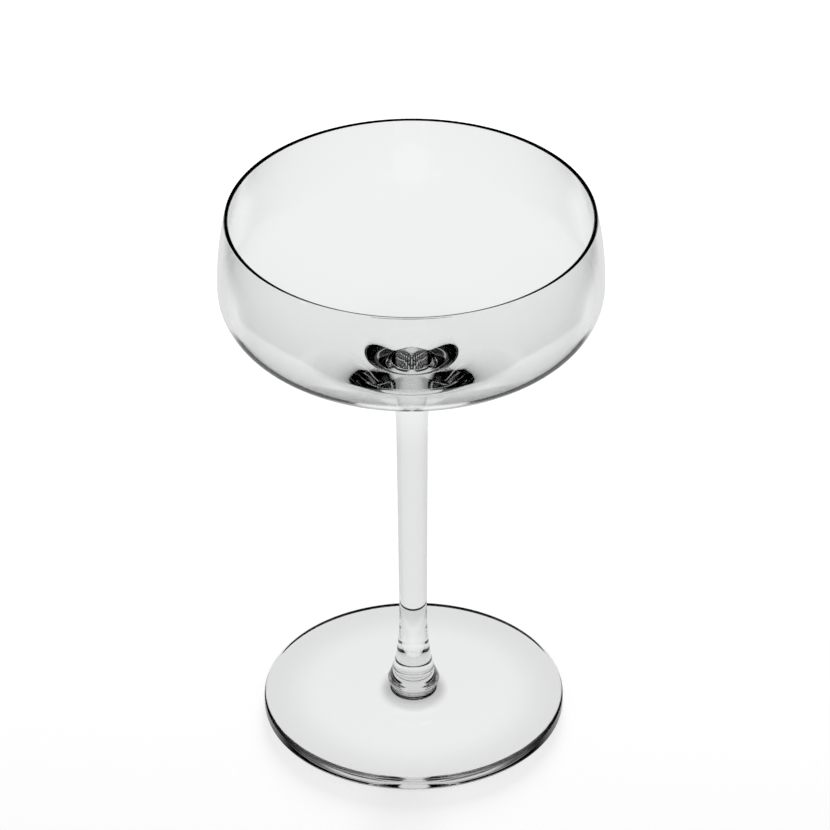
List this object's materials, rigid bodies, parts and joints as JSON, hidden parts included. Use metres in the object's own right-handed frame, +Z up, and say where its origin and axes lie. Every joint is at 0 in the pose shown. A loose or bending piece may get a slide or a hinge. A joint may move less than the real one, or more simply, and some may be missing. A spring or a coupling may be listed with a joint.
{
  "type": "coupe glass",
  "caption": "Stemmed coupe glass with a wide shallow bowl, a slender flared stem and a flat disc foot, for sparkling wine or cocktails.",
  "frame": {"origin": "on the glass's axis, in the plane that the foot stands on", "axes": "+Z up along the axis of the bowl, stem and foot"},
  "size_m": [0.0992, 0.0992, 0.153],
  "materials": {
    "clear_glass": "clear polished crystal glass, fire-polished rim"
  },
  "bodies": {
    "root": {"bowl": "clear_glass", "stem": "clear_glass", "foot": "clear_glass"}
  },
  "joints": []
}
